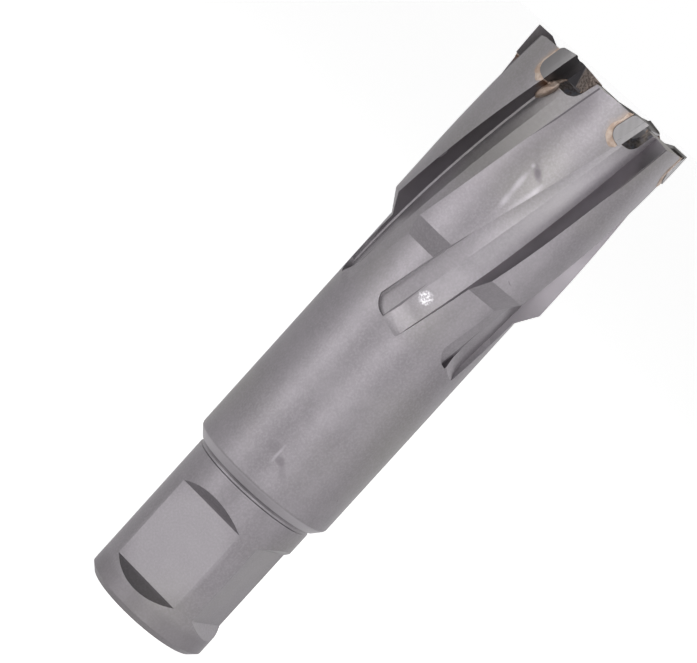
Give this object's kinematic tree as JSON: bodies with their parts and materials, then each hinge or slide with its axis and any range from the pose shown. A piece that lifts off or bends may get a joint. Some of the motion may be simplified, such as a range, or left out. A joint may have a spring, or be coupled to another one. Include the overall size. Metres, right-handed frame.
{
  "type": "annular cutter",
  "caption": "Carbide-tipped annular cutter for a magnetic drill: a hollow fluted head with brazed teeth that cuts a ring and leaves a slug, on a round shank with driving flats.",
  "frame": {"origin": "centre of the shank's end face", "axes": "+Z along the axis from the shank to the cutting tips, the first driving flat faces -Y and the second +X"},
  "size_m": [0.026, 0.0256, 0.0941],
  "materials": {
    "body_steel": "satin, blasted",
    "carbide": "ground",
    "braze": "dull, as melted"
  },
  "bodies": {
    "root": {"cutter_body": "body_steel", "carbide_tip_1": "carbide", "carbide_tip_2": "carbide", "carbide_tip_3": "carbide", "carbide_tip_4": "carbide", "carbide_tip_5": "carbide", "carbide_tip_6": "carbide", "braze_joint_1": "braze", "braze_joint_2": "braze", "braze_joint_3": "braze", "braze_joint_4": "braze", "braze_joint_5": "braze", "braze_joint_6": "braze"}
  },
  "joints": []
}
